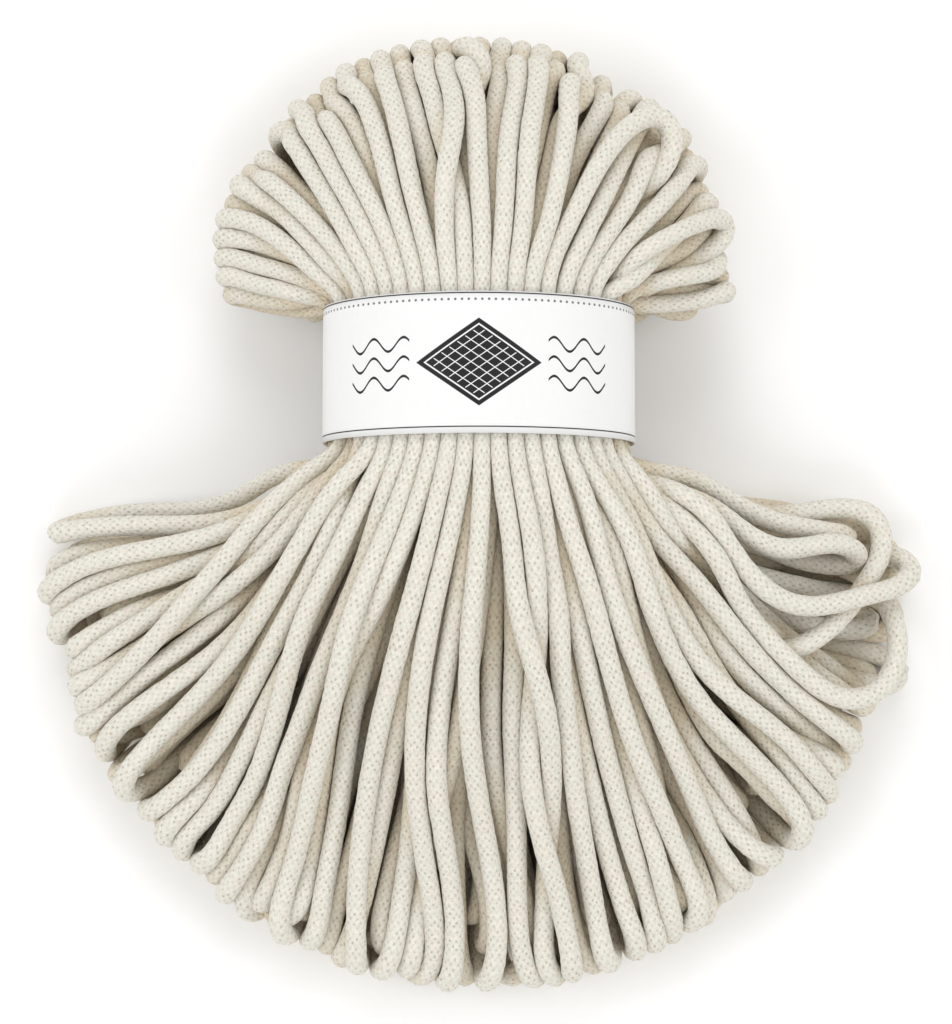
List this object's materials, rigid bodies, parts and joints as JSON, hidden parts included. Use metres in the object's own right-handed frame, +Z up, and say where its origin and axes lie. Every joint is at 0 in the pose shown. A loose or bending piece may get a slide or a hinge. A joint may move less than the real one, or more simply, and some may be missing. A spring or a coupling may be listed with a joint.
{
  "type": "hank of braided cord with paper band",
  "caption": "Undyed braided cotton cord wound in a hank and drawn through a paper band, its loops spread in a short fan above and a long fan below.",
  "frame": {"origin": "middle of the bounding box's bottom, on the surface that the hank lies on", "axes": "+Z up from the surface that the hank lies on, +Y along the hank from the long fan of loops through the band to the short fan, +X to the right as the band is read"},
  "size_m": [0.1956, 0.2153, 0.0553],
  "materials": {
    "cotton": "matt braided cotton, undyed",
    "paper": "smooth white paper with a fine grey print"
  },
  "bodies": {
    "root": {"hank": "cotton", "band": "paper"}
  },
  "joints": []
}
